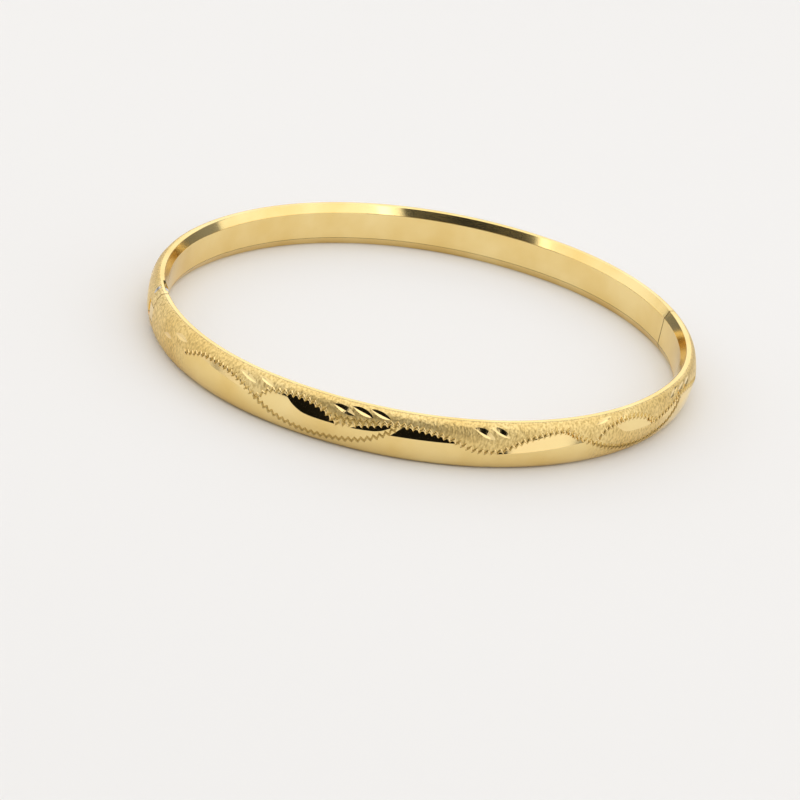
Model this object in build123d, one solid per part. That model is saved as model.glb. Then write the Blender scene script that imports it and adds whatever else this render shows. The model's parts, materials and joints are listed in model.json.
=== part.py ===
from build123d import *
import math
import os

# Oval hinged bangle, lying on its side. +Z runs along the axis of the wrist opening,
# +X points at the clasp and -X at the hinge. The back half is at +Y, the front half at -Y.
# The origin is under the middle of the oval, on the surface that the bangle lies on.

# ---- Driving dimensions, in millimetres -------------------------------------------------
HALF_LENGTH = 31.0          # outside of the oval, centre to hinge or clasp
HALF_WIDTH = 28.0           # outside of the oval, centre to the middle of a half
BLEND_ANGLE = 45.0          # where the end arcs meet the flank arcs of the oval

BAND_WIDTH = 5.2            # along the wrist
BAND_DEPTH = 2.0            # from the crown of the dome to the wrist side
DOME_RISE = 1.1             # crown to the springing line of the dome
BEVEL_DEPTH = 1.50          # where the side ends and the bevel down to the lining starts
SKIN = 0.30                 # sheet that the shells and linings are made of
LINING_WIDTH = 3.3

SEAM_GAP = 0.12             # between the two halves, at the hinge and at the clasp

PIVOT_DEPTH = 0.60          # hinge pin below the crown
PIVOT_ALONG = 1.80          # hinge pin behind the seam, measured along the crown
PIN_RADIUS = 0.30
PIN_RUNNING_GAP = 0.03
KNUCKLE_RADIUS = 0.55
TONGUE_HALF_WIDTH = 0.80
TONGUE_SIDE_GAP = 0.06
TONGUE_SHANK_LENGTH = 3.6
HINGE_BLOCK_LENGTH = 4.6
HINGE_CAP_LENGTH = 4.2

NOTCH_FLOOR = 1.30          # depth of the floor of the notch on the wrist side
NOTCH_START = 0.80
NOTCH_END = 3.50
SPRING_MARGIN = 0.15
SPRING_BOW_DEPTH = 1.85
SPRING_THICKNESS = 0.25
SPRING_HALF_WIDTH = 2.00

STRIP = 0.28                # thickness of the clasp's spring strip
BASE_LEAF_DEPTH = 1.14      # outer face of the lower leaf, at the seam
BASE_LEAF_HALF_WIDTH = 1.30
BASE_LEAF_ROOT = 2.6
BASE_LEAF_REACH = 3.95
FOLD_ALONG = 4.30
FOLD_DEPTH = 1.18
FOLD_RADIUS = 0.25
LEAF_GAP_AT_FOLD = 0.05     # free leaf above the lower leaf, beside the fold
FREE_END_ALONG = 0.50
FREE_END_DEPTH = 0.46       # outer face of the free leaf at rest, at the seam
SOCKET_FLOOR_GAP = 0.07
SOCKET_SIDE_GAP = 0.10
SOCKET_REACH = 4.65
CLASP_BOX_LENGTH = 5.3
CLASP_CAP_LENGTH = 3.4
TAB_HALF_WIDTH = 0.80
TAB_START = 0.55
TAB_END = 1.25
TAB_PROUD = 0.50
TAB_NOTCH_HALF_WIDTH = 0.95
TAB_NOTCH_END = 1.65
RIVET_RADIUS = 0.25
RIVET_SPACING = 1.4
RIVET_ALONG = -1.6

OVERSHOOT = 3.0             # how far cutters run past what they cut

# ---- Worked out -------------------------------------------------------------------------
BLEND = math.radians(BLEND_ANGLE)
CENTRE_STEP = (HALF_LENGTH - HALF_WIDTH) / (math.cos(BLEND) + math.sin(BLEND) - 1)
END_OFFSET = CENTRE_STEP * math.cos(BLEND)
FLANK_OFFSET = CENTRE_STEP * math.sin(BLEND)
END_RADIUS = HALF_LENGTH - END_OFFSET
FLANK_RADIUS = HALF_WIDTH + FLANK_OFFSET
HALF_BAND = BAND_WIDTH / 2
MID_HEIGHT = HALF_BAND
HALF_GAP = SEAM_GAP / 2
CORE_DEPTH = BAND_DEPTH - SKIN
HINGE_SIDE = -1
CLASP_SIDE = 1


def point_on(side, depth, along):
    """Point at a depth below the crown and a length along it from the seam, towards +Y."""
    angle = along / END_RADIUS
    radius = END_RADIUS - depth
    return (side * (END_OFFSET + radius * math.cos(angle)), radius * math.sin(angle))


PIVOT = point_on(HINGE_SIDE, PIVOT_DEPTH, PIVOT_ALONG)


def pivot_radius(depth):
    """Distance from the hinge pin to a depth below the crown at the clasp's seam."""
    x, y = point_on(CLASP_SIDE, depth, 0)
    return math.hypot(x - PIVOT[0], y - PIVOT[1])


def arc_slab(centre, radii, angles, heights):
    """Slab between two radii and two angles (degrees) about a centre, between two heights."""
    middle = (angles[0] + angles[1]) / 2

    def polar(radius, angle):
        turn = math.radians(angle)
        return (centre[0] + radius * math.cos(turn), centre[1] + radius * math.sin(turn))

    inner, outer = radii
    edges = [
        ThreePointArc(polar(outer, angles[0]), polar(outer, middle), polar(outer, angles[1])),
        Line(polar(outer, angles[1]), polar(inner, angles[1])),
        ThreePointArc(polar(inner, angles[1]), polar(inner, middle), polar(inner, angles[0])),
        Line(polar(inner, angles[0]), polar(outer, angles[0])),
    ]
    face = Pos(0, 0, heights[0]) * make_face(edges)
    return extrude(face, amount=heights[1] - heights[0], dir=(0, 0, 1))


def band_slab(side, depths, alongs, half_width):
    """Slab that follows the end arc of the oval, centred on the band's mid height."""
    angles = [math.degrees(along / END_RADIUS) for along in alongs]
    if side == HINGE_SIDE:
        angles = [180 - angles[1], 180 - angles[0]]
    radii = (END_RADIUS - depths[1], END_RADIUS - depths[0])
    heights = (MID_HEIGHT - half_width, MID_HEIGHT + half_width)
    return arc_slab((side * END_OFFSET, 0), radii, angles, heights)


def clasp_point(depth, along):
    """Point at the clasp at a length from the seam, on the circle about the hinge pin."""
    x, y = point_on(CLASP_SIDE, BASE_LEAF_DEPTH, along)
    angle = math.atan2(y - PIVOT[1], x - PIVOT[0])
    radius = pivot_radius(depth)
    return (PIVOT[0] + radius * math.cos(angle), PIVOT[1] + radius * math.sin(angle))


def clasp_slab(depths, alongs, half_width):
    """Slab at the clasp that turns about the hinge pin, so that it slides out without binding."""
    radii = (pivot_radius(depths[1]), pivot_radius(depths[0]))
    angles = []
    for along in alongs:
        x, y = point_on(CLASP_SIDE, BASE_LEAF_DEPTH, along)
        angles.append(math.degrees(math.atan2(y - PIVOT[1], x - PIVOT[0])))
    heights = (MID_HEIGHT - half_width, MID_HEIGHT + half_width)
    return arc_slab(PIVOT, radii, angles, heights)


def upright_pin(centre, radius, heights):
    """Round pin along Z."""
    pin = Cylinder(radius, heights[1] - heights[0], align=(Align.CENTER, Align.CENTER, Align.MIN))
    return Pos(centre[0], centre[1], heights[0]) * pin


# ---- Cross-sections of the band ---------------------------------------------------------
# Sections are drawn with X outwards from the crown (the crown is at X = 0) and Y as height
# from the mid height. They are then stood up at their radius and turned about the arc centres.

def dome_outline(inset, closed_at):
    """Edges of the D-shaped outline, inset by a wall, running from +Y round the dome to -Y."""
    half = HALF_BAND - inset
    rise = DOME_RISE - inset
    lip_x = inset - BAND_DEPTH
    lip_y = LINING_WIDTH / 2
    slope = (BAND_DEPTH - BEVEL_DEPTH) / (HALF_BAND - lip_y)
    bevel_x = lip_x + (half - lip_y) * slope
    edges = []
    for sign in (1, -1):
        if closed_at < lip_y:
            edges.append(Line((lip_x, sign * closed_at), (lip_x, sign * lip_y)))
        edges.append(Line((lip_x, sign * lip_y), (bevel_x, sign * half)))
        edges.append(Line((bevel_x, sign * half), (-DOME_RISE, sign * half)))
    edges.append(EllipticalCenterArc((-DOME_RISE, 0), rise, half, start_angle=-90, arc_size=180))
    return edges


def full_section():
    """Solid D-shaped section, out to the skin of the shell."""
    edges = dome_outline(0, 0)
    return make_face(edges)


def core_section():
    """Space inside the shell and the lining."""
    edges = dome_outline(SKIN, 0)
    return make_face(edges)


def shell_section():
    """The sheet that makes the dome, the sides and the bevelled lips."""
    outer = dome_outline(0, LINING_WIDTH / 2)
    inner = dome_outline(SKIN, LINING_WIDTH / 2)
    lips = []
    for sign in (1, -1):
        height = sign * LINING_WIDTH / 2
        lips.append(Line((-BAND_DEPTH, height), (SKIN - BAND_DEPTH, height)))
    return make_face(outer + inner + lips)


def lining_section():
    """The flat strip on the wrist side, between the lips."""
    strip = Rectangle(SKIN, LINING_WIDTH)
    return Pos(SKIN / 2 - BAND_DEPTH, 0) * strip


def ring_of(section):
    """Carries a section right round the four arcs of the oval."""
    arcs = [
        ((END_OFFSET, 0), END_RADIUS, -BLEND_ANGLE, 2 * BLEND_ANGLE),
        ((0, -FLANK_OFFSET), FLANK_RADIUS, BLEND_ANGLE, 180 - 2 * BLEND_ANGLE),
        ((-END_OFFSET, 0), END_RADIUS, 180 - BLEND_ANGLE, 2 * BLEND_ANGLE),
        ((0, FLANK_OFFSET), FLANK_RADIUS, 180 + BLEND_ANGLE, 180 - 2 * BLEND_ANGLE),
    ]
    pieces = []
    for centre, radius, start, sweep_angle in arcs:
        stood_up = Plane.XZ * Pos(radius, MID_HEIGHT) * section
        turned = revolve(stood_up, axis=Axis.Z, revolution_arc=sweep_angle)
        pieces.append(Pos(centre[0], centre[1], 0) * Rot(0, 0, start) * turned)
    ring = pieces[0]
    for piece in pieces[1:]:
        ring = ring + piece
    return ring


def half_space(sign):
    """Everything on one side of the seam, less half the seam gap."""
    size = 4 * HALF_LENGTH
    box = Box(size, size, size)
    return Pos(0, sign * (size / 2 + HALF_GAP), 0) * box


ENVELOPE = ring_of(full_section())
CORE = ring_of(core_section())
SHELL = ring_of(shell_section())
LINING = ring_of(lining_section())
BACK = half_space(1)
FRONT = half_space(-1)


# ---- Cutters that several pieces share --------------------------------------------------

def tongue_slot():
    """Slot that the hinge tongue turns in, open outwards and towards the seam."""
    end = PIVOT_ALONG + KNUCKLE_RADIUS + 2 * TONGUE_SIDE_GAP
    depths = (-OVERSHOOT, NOTCH_FLOOR)
    return band_slab(HINGE_SIDE, depths, (-OVERSHOOT, end), TONGUE_HALF_WIDTH + TONGUE_SIDE_GAP)


def wrist_side_notch():
    """Notch right across the wrist side, where the hinge spring shows."""
    depths = (NOTCH_FLOOR, BAND_DEPTH + OVERSHOOT)
    return band_slab(HINGE_SIDE, depths, (NOTCH_START, NOTCH_END), BAND_WIDTH)


def pin_bore(radius):
    return upright_pin(PIVOT, radius, (-OVERSHOOT, BAND_WIDTH + OVERSHOOT))


def tab_notch():
    """Notch in the crown of the back shell that the thumb tab sits in."""
    depths = (-OVERSHOOT, CORE_DEPTH / 2)
    return band_slab(CLASP_SIDE, depths, (-OVERSHOOT, TAB_NOTCH_END), TAB_NOTCH_HALF_WIDTH)


def rivet_points():
    """Heights of the two rivets at each joint of tongue and cap."""
    return [MID_HEIGHT - RIVET_SPACING / 2, MID_HEIGHT + RIVET_SPACING / 2]


def clasp_rivets():
    """Two rivets that run outwards through the clasp cap and the lower leaf."""
    start_x, start_y = point_on(CLASP_SIDE, CORE_DEPTH, RIVET_ALONG)
    length = CORE_DEPTH - 2 * SKIN
    rivets = []
    for height in rivet_points():
        rivet = Cylinder(RIVET_RADIUS, length, align=(Align.CENTER, Align.CENTER, Align.MIN))
        rivets.append(Pos(start_x, start_y, height) * Rot(0, 90, 0) * rivet)
    return rivets


# ---- Back half --------------------------------------------------------------------------

def back_outer_shell():
    shell = SHELL & BACK
    for cutter in (tongue_slot(), wrist_side_notch(), pin_bore(PIN_RADIUS), tab_notch()):
        shell = shell - cutter
    return shell


def back_lining_pieces():
    """The lining of the back half, which the notch cuts in two, longest piece first."""
    lining = (LINING & BACK) - wrist_side_notch()
    return lining.solids().sort_by(SortBy.VOLUME, reverse=True)


def back_inner_lining():
    return back_lining_pieces()[0]


def hinge_bridge():
    """Short bar across the wrist side, between the seam and the notch."""
    return back_lining_pieces()[1]


def hinge_block():
    """Block in the end of the back half, with the two ears that hold the pin."""
    length = band_slab(HINGE_SIDE, (-1, BAND_DEPTH), (0, HINGE_BLOCK_LENGTH), BAND_WIDTH)
    block = CORE & BACK & length
    for cutter in (tongue_slot(), wrist_side_notch(), pin_bore(PIN_RADIUS)):
        block = block - cutter
    return block


def hinge_pin():
    """Steel pin, pressed through both ears and filed flush with the dome."""
    return ENVELOPE & upright_pin(PIVOT, PIN_RADIUS, (0, BAND_WIDTH))


def hinge_spring():
    """Bowed flat spring in the notch, with its two ends on the notch floor."""
    middle = (NOTCH_START + NOTCH_END) / 2
    half_chord = (NOTCH_END - NOTCH_START) / 2 - SPRING_MARGIN
    rise = SPRING_BOW_DEPTH - NOTCH_FLOOR
    radius = (half_chord ** 2 + rise ** 2) / (2 * rise)
    centre = point_on(HINGE_SIDE, SPRING_BOW_DEPTH - radius, middle)
    heights = (MID_HEIGHT - SPRING_HALF_WIDTH, MID_HEIGHT + SPRING_HALF_WIDTH)
    bow = upright_pin(centre, radius, heights) - upright_pin(centre, radius - SPRING_THICKNESS, heights)
    return bow & wrist_side_notch()


def clasp_box():
    """Socket in the end of the back half for the folded tongue."""
    length = band_slab(CLASP_SIDE, (-1, BAND_DEPTH), (0, CLASP_BOX_LENGTH), BAND_WIDTH)
    floor_depth = BASE_LEAF_DEPTH + STRIP + SOCKET_FLOOR_GAP
    half_width = BASE_LEAF_HALF_WIDTH + SOCKET_SIDE_GAP
    cavity = clasp_slab((-OVERSHOOT, floor_depth), (-OVERSHOOT, SOCKET_REACH), half_width)
    return (CORE & BACK & length) - cavity


# ---- Front half -------------------------------------------------------------------------

def front_outer_shell():
    return SHELL & FRONT


def front_inner_lining():
    return LINING & FRONT


def hinge_tongue():
    """Tongue of the front half: a riveted shank, and a flush head that turns on the pin."""
    knuckle_depths = (PIVOT_DEPTH - KNUCKLE_RADIUS, PIVOT_DEPTH + KNUCKLE_RADIUS)
    head = band_slab(HINGE_SIDE, knuckle_depths, (-HALF_GAP, PIVOT_ALONG), TONGUE_HALF_WIDTH)
    heights = (MID_HEIGHT - TONGUE_HALF_WIDTH, MID_HEIGHT + TONGUE_HALF_WIDTH)
    head = (head + upright_pin(PIVOT, KNUCKLE_RADIUS, heights)) & ENVELOPE
    shank_depths = (SKIN, PIVOT_DEPTH + KNUCKLE_RADIUS)
    shank = band_slab(HINGE_SIDE, shank_depths, (-TONGUE_SHANK_LENGTH, -HALF_GAP), TONGUE_HALF_WIDTH)
    return head + (shank & CORE) - pin_bore(PIN_RADIUS + PIN_RUNNING_GAP) - hinge_rivet()


def hinge_rivet():
    """Cross rivet through the hinge cap and the tongue's shank."""
    centre = point_on(HINGE_SIDE, PIVOT_DEPTH + RIVET_RADIUS / 2, -TONGUE_SHANK_LENGTH / 2)
    return upright_pin(centre, RIVET_RADIUS, (MID_HEIGHT - RIVET_SPACING, MID_HEIGHT + RIVET_SPACING))


def front_hinge_cap():
    length = band_slab(HINGE_SIDE, (-1, BAND_DEPTH), (-HINGE_CAP_LENGTH, 0), BAND_WIDTH)
    return (CORE & FRONT & length) - hinge_tongue() - hinge_rivet()


def clasp_lower_leaf():
    """Lower leaf of the folded tongue, riveted into the front half's clasp cap."""
    depths = (BASE_LEAF_DEPTH, BASE_LEAF_DEPTH + STRIP)
    leaf = clasp_slab(depths, (-BASE_LEAF_ROOT, BASE_LEAF_REACH), BASE_LEAF_HALF_WIDTH)
    for rivet in clasp_rivets():
        leaf = leaf - rivet
    return leaf


def front_clasp_cap():
    length = band_slab(CLASP_SIDE, (-1, BAND_DEPTH), (-CLASP_CAP_LENGTH, 0), BAND_WIDTH)
    cap = (CORE & FRONT & length) - clasp_lower_leaf()
    for rivet in clasp_rivets():
        cap = cap - rivet
    return cap


# ---- Sprung leaf of the clasp -----------------------------------------------------------

def clasp_free_leaf():
    """Free leaf: from the round fold at the tip back towards the seam, standing off the lower leaf."""
    outline = Polyline(
        clasp_point(FOLD_DEPTH - FOLD_RADIUS, FOLD_ALONG),
        clasp_point(FREE_END_DEPTH, FREE_END_ALONG),
        clasp_point(FREE_END_DEPTH + STRIP, FREE_END_ALONG),
        clasp_point(BASE_LEAF_DEPTH - LEAF_GAP_AT_FOLD, FOLD_ALONG),
        close=True,
    )
    heights = (MID_HEIGHT - BASE_LEAF_HALF_WIDTH, MID_HEIGHT + BASE_LEAF_HALF_WIDTH)
    side = Pos(0, 0, heights[0]) * make_face(outline)
    strip = extrude(side, amount=heights[1] - heights[0], dir=(0, 0, 1))
    fold = clasp_point(FOLD_DEPTH, FOLD_ALONG)
    return strip + upright_pin(fold, FOLD_RADIUS, heights)


def thumb_tab():
    """Tab that stands through the notch in the crown and is pressed to let the tongue go."""
    block = band_slab(CLASP_SIDE, (-TAB_PROUD, CORE_DEPTH / 2), (TAB_START, TAB_END), TAB_HALF_WIDTH)
    outer_edges = block.edges().filter_by(Axis.Z).sort_by(Axis.X)[-2:]
    block = fillet(outer_edges, TAB_PROUD / 2)
    pieces = (block - clasp_free_leaf()).solids()
    return pieces.sort_by(Axis.X)[-1]


# ---- Write one file for each piece ------------------------------------------------------
PIECES = {
    "back_outer_shell": back_outer_shell,
    "back_inner_lining": back_inner_lining,
    "hinge_bridge": hinge_bridge,
    "hinge_block": hinge_block,
    "hinge_pin": hinge_pin,
    "hinge_spring": hinge_spring,
    "clasp_box": clasp_box,
    "front_outer_shell": front_outer_shell,
    "front_inner_lining": front_inner_lining,
    "front_hinge_cap": front_hinge_cap,
    "hinge_tongue": hinge_tongue,
    "hinge_tongue_rivet": hinge_rivet,
    "front_clasp_cap": front_clasp_cap,
    "clasp_lower_leaf": clasp_lower_leaf,
    "clasp_tongue_rivets": lambda: Compound(children=clasp_rivets()),
    "clasp_free_leaf": clasp_free_leaf,
    "thumb_tab": thumb_tab,
}

os.makedirs("parts", exist_ok=True)
for name, make in PIECES.items():
    export_step(make(), f"parts/{name}.step")

print("hinge pin centre:", [round(value, 4) for value in PIVOT])
print("fold of the clasp tongue:", [round(value, 4) for value in clasp_point(FOLD_DEPTH, FOLD_ALONG)])
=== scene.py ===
"""Hinged gold bangle: engraved domed shells, polished linings, a hinge and a sprung clasp.

Each half is modelled flat, as an engraver works a straight D-section bar on the bench: X runs
along the band from the hinge, Y is the height from mid band and Z is the lift from the crown.
The finished bar is then bent round the oval of the frame.
"""

import json
import logging
import math
from dataclasses import dataclass
from enum import Enum
from typing import Sequence

import bmesh
import bpy
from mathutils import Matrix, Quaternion, Vector

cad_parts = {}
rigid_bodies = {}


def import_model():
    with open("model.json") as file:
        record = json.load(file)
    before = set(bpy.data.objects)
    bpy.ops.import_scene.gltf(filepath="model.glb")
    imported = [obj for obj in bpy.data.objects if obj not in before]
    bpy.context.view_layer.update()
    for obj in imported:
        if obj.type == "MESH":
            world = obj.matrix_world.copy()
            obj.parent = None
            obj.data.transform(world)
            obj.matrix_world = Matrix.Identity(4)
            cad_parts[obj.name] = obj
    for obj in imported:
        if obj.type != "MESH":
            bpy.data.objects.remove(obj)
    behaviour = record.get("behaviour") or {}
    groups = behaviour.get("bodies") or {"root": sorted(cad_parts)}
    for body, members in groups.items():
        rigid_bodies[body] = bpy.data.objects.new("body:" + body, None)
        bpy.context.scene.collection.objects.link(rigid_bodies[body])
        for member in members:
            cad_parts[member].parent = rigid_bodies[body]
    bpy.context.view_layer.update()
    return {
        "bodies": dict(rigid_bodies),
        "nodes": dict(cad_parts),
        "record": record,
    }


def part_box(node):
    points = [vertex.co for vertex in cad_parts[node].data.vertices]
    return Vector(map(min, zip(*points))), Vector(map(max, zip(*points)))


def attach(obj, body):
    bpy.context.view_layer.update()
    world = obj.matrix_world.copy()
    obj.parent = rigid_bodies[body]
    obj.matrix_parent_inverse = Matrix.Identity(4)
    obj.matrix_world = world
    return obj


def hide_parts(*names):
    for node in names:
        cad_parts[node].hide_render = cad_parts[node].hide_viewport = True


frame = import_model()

LOG = logging.getLogger("bangle")
MM = 0.001  # the flat bars are worked in millimetres, and the finished pieces are in metres
UP = Vector((0.0, 0.0, 1.0))
HALF_LENGTH = 31.0  # centre to the crown at the clasp, which the seam hides from the boxes
HALF_SEAM = 0.06  # from the middle of a seam to the end of either half
SHARP = 14.0  # edges that turn by more degrees than this are drawn sharp
CLOSE_TO_FACE = 0.96  # cosine, past which a smooth direction isn't used on a face

Profile = list[tuple[float, float]]
Verts = list[bmesh.types.BMVert]
Mesh = bmesh.types.BMesh
Object = bpy.types.Object
Material = bpy.types.Material
NodeTree = bpy.types.ShaderNodeTree
Socket = bpy.types.NodeSocket
Colour = tuple[float, float, float]
Range = tuple[float, float]


class Half(Enum):
    """The two halves of the bangle, with the body each one is."""

    FRONT = "front_half"
    BACK = "back_half"

    @property
    def side(self) -> int:
        """-1 for the half at -Y, 1 for the half at +Y."""
        return -1 if self is Half.FRONT else 1

    @property
    def word(self) -> str:
        """The word that the half's CAD nodes start with."""
        return self.value.removesuffix("_half")


class Cut(Enum):
    """What a face of an engraved shell is, which is also its material index."""

    GROUND = 0
    SCOOP = 1
    LEAF = 2
    EDGE = 3


# ---- The frame's own sizes ---------------------------------------------------------------


@dataclass(frozen=True)
class Oval:
    """The oval that the crown of the band follows: two end arcs and two flank arcs."""

    half_length: float
    half_width: float
    mid_height: float
    blend: float = math.radians(45.0)

    @property
    def offset(self) -> float:
        """How far each arc's centre stands off the middle of the oval."""
        spread = math.cos(self.blend) + math.sin(self.blend) - 1.0
        return (self.half_length - self.half_width) / spread * math.cos(self.blend)

    @property
    def end_radius(self) -> float:
        """Radius of the arcs at the hinge and at the clasp."""
        return self.half_length - self.offset

    @property
    def flank_radius(self) -> float:
        """Radius of the arc in the middle of each half."""
        return self.half_width + self.offset

    @property
    def length(self) -> float:
        """Length of the crown of one half, from seam to seam."""
        flank = self.flank_radius * (math.pi - 2.0 * self.blend)
        return 2.0 * self.end_radius * self.blend + flank

    def station(self, along: float, side: int) -> tuple[Vector, Vector]:
        """Finds a place on the crown.

        Args:
            along: Length from the hinge's seam.
            side: -1 for the front half, 1 for the back half.

        Returns:
            The point at mid height, and the outward direction there.
        """
        end_span = self.end_radius * self.blend
        if along < end_span:
            turn, centre, radius = along / self.end_radius, Vector((-self.offset, 0, 0)), self.end_radius
            outward = Vector((-math.cos(turn), math.sin(turn), 0))
        elif along > self.length - end_span:
            turn = (self.length - along) / self.end_radius
            centre, radius = Vector((self.offset, 0, 0)), self.end_radius
            outward = Vector((math.cos(turn), math.sin(turn), 0))
        else:
            turn = (along - self.length / 2.0) / self.flank_radius
            centre, radius = Vector((0, -self.offset, 0)), self.flank_radius
            outward = Vector((math.sin(turn), math.cos(turn), 0))
        point = centre + outward * radius + UP * self.mid_height
        if side < 0:
            point.y, outward.y = -point.y, -outward.y
        return point, outward

    def bend(self, flat: Vector, side: int) -> Vector:
        """Carries a point of the flat bar to its place on the oval."""
        point, outward = self.station(flat.x, side)
        return (point + outward * flat.z + UP * flat.y) * MM

    def bend_direction(self, flat: Vector, direction: Vector, side: int) -> Vector:
        """Carries a direction of the flat bar to the oval.

        Args:
            flat: The point of the flat bar where the direction starts.
            direction: The direction on the flat bar.
            side: -1 for the front half, 1 for the back half.

        Returns:
            The direction on the oval, of length 1.
        """
        outward = self.station(flat.x, side)[1]
        tangent = Vector((-outward.y, outward.x, 0)) if side < 0 else Vector((outward.y, -outward.x, 0))
        return (tangent * direction.x + UP * direction.y + outward * direction.z).normalized()


@dataclass(frozen=True)
class Section:
    """Cross-section of the hollow band: a dome, two short sides and two bevelled lips."""

    width: float
    depth: float
    lining: float
    skin: float = 0.30
    rise: float = 1.10
    bevel_depth: float = 1.50
    corner: float = 0.14
    corner_steps: int = 4
    crown_radius: float = 2.5  # of the dome across the band, near the crown

    @property
    def half(self) -> float:
        """Half of the band's width."""
        return self.width / 2.0

    @property
    def bevel_slope(self) -> float:
        """How much the lip gains in depth for each unit towards the lining."""
        return (self.depth - self.bevel_depth) / (self.half - self.lining / 2.0)

    @property
    def corner_centre(self) -> tuple[float, float]:
        """Centre of the soft corner between the side and the bevel, as (height, lift)."""
        turning = math.pi / 2.0 - math.atan(self.bevel_slope)
        return self.half - self.corner, self.corner * math.tan(turning / 2.0) - self.bevel_depth

    def dome(self, height: float) -> float:
        """Lift of the dome's surface at a height from mid band, zero at the crown."""
        share = min(1.0, abs(height) / self.half)
        return -self.rise * (1.0 - math.sqrt(max(0.0, 1.0 - share * share)))

    def normal(self, flat: Vector) -> Vector:
        """Finds which way the smooth outer surface faces.

        Args:
            flat: A point of the flat bar.

        Returns:
            The outward direction there: of the dome, the side, the soft corner or the bevel.
        """
        sign = math.copysign(1.0, flat.y)
        above_spring = flat.z + self.rise
        if above_spring >= 0.0:
            return Vector((0, flat.y / self.half**2, above_spring / self.rise**2)).normalized()
        height, lift = self.corner_centre
        if flat.z >= lift:
            return Vector((0, sign, 0))
        bevel = Vector((0, sign * self.bevel_slope, -1.0)).normalized()
        around = Vector((0, flat.y - sign * height, flat.z - lift)).normalized()
        on_corner = around.dot(bevel) < 0.9999 and around.z > bevel.z
        return around if on_corner else bevel

    def outline(self, inset: float, steps: int) -> Profile:
        """Draws the section from lip to lip over the crown.

        Args:
            inset: Wall between the outer surface and this outline, 0 for the surface itself.
            steps: How many lengths the crown is divided into.

        Returns:
            The outline's points, as (height, lift).
        """
        half, rise = self.half - inset, self.rise - inset
        lip = (self.lining / 2.0, inset - self.depth)
        lower = [lip]
        if inset:
            lower.append((half, lip[1] + (half - lip[0]) * self.bevel_slope))
        else:
            centre, turning = self.corner_centre, math.pi / 2.0 - math.atan(self.bevel_slope)
            for step in range(self.corner_steps, -1, -1):
                turn = turning * step / self.corner_steps
                across, down = self.corner * math.cos(turn), self.corner * math.sin(turn)
                lower.append((centre[0] + across, centre[1] - down))
        crown = []
        for step in range(steps + 1):
            turn = math.pi * step / steps
            crown.append((half * math.cos(turn), -self.rise + rise * math.sin(turn)))
        return lower + crown + [(-height, lift) for height, lift in reversed(lower)]


def frame_sizes() -> tuple[Oval, Section]:
    """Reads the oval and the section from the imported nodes.

    Returns:
        The oval of the crown and the band's section.
    """
    low, high = (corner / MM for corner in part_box("front_outer_shell"))
    inner_low, inner_high = (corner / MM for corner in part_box("front_inner_lining"))
    oval = Oval(half_length=HALF_LENGTH, half_width=-low.y, mid_height=(low.z + high.z) / 2.0)
    depth = inner_low.y - low.y + Section.skin
    return oval, Section(width=high.z - low.z, depth=depth, lining=inner_high.z - inner_low.z)


# ---- Shader node groups ------------------------------------------------------------------


class Group:
    """A shader node group being built: a vector and one strength go in, masks and heights come out."""

    def __init__(self, name: str, strength: str, outputs: tuple[str, ...]) -> None:
        """Makes the group and its sockets.

        Args:
            name: The group's name.
            strength: Name of the input that scales what the group puts out.
            outputs: Names of the outputs.
        """
        self.tree = bpy.data.node_groups.new(name, "ShaderNodeTree")
        self.tree.interface.new_socket("Vector", in_out="INPUT", socket_type="NodeSocketVector")
        socket = self.tree.interface.new_socket(strength, in_out="INPUT", socket_type="NodeSocketFloat")
        socket.default_value = 1.0
        for label in outputs:
            self.tree.interface.new_socket(label, in_out="OUTPUT", socket_type="NodeSocketFloat")
        self.inputs = self.tree.nodes.new("NodeGroupInput").outputs
        self.outputs = self.tree.nodes.new("NodeGroupOutput").inputs
        self.strength = self.inputs[strength]

    def math(self, operation: str, first: Socket, second: object) -> Socket:
        """Works out one sum.

        Args:
            operation: What the Math node does.
            first: The first operand's socket.
            second: The second operand, a socket or a number.

        Returns:
            The socket that holds the result.
        """
        made = self.tree.nodes.new("ShaderNodeMath")
        made.operation = operation
        self.tree.links.new(first, made.inputs[0])
        if isinstance(second, Socket):
            self.tree.links.new(second, made.inputs[1])
        else:
            made.inputs[1].default_value = second
        return made.outputs[0]

    def scaled(self, value: Socket) -> Socket:
        """A value times the group's strength."""
        return self.math("MULTIPLY", value, self.strength)

    def noise(self, stretch: tuple[float, float, float], scale: float, detail: float) -> Socket:
        """Adds a noise texture.

        Args:
            stretch: How much finer the noise is along each axis.
            scale: How fine it is overall.
            detail: How many finer layers it holds.

        Returns:
            The socket that holds the noise.
        """
        mapping = self.tree.nodes.new("ShaderNodeMapping")
        mapping.vector_type = "POINT"
        mapping.inputs["Scale"].default_value = stretch
        self.tree.links.new(self.inputs["Vector"], mapping.inputs["Vector"])
        made = self.tree.nodes.new("ShaderNodeTexNoise")
        made.inputs["Scale"].default_value = scale
        made.inputs["Detail"].default_value = detail
        self.tree.links.new(mapping.outputs[0], made.inputs["Vector"])
        return made.outputs[0]

    def put_out(self, label: str, value: Socket) -> None:
        """Joins a value to one of the group's outputs."""
        self.tree.links.new(value, self.outputs[label])


def florentine_group() -> NodeTree:
    """Fine graver hatching across the band, with a stipple of short bright nicks, and a mask of the nicks for
    their painted shade.
    """
    group = Group("florentine_hatching", "Fineness", ("Height", "Fleck"))
    hatch = group.noise((4.2, 4.2, 0.9), 1000.0, 3.0)
    nick = group.noise((1.0, 1.0, 0.6), 4600.0, 1.0)
    height = group.math("ADD", group.math("MULTIPLY", hatch, 0.65), group.math("MULTIPLY", nick, 0.5))
    group.put_out("Height", group.scaled(height))
    # the nicks also go out as the mask for their painted shade
    group.put_out("Fleck", nick)
    return group.tree


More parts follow.
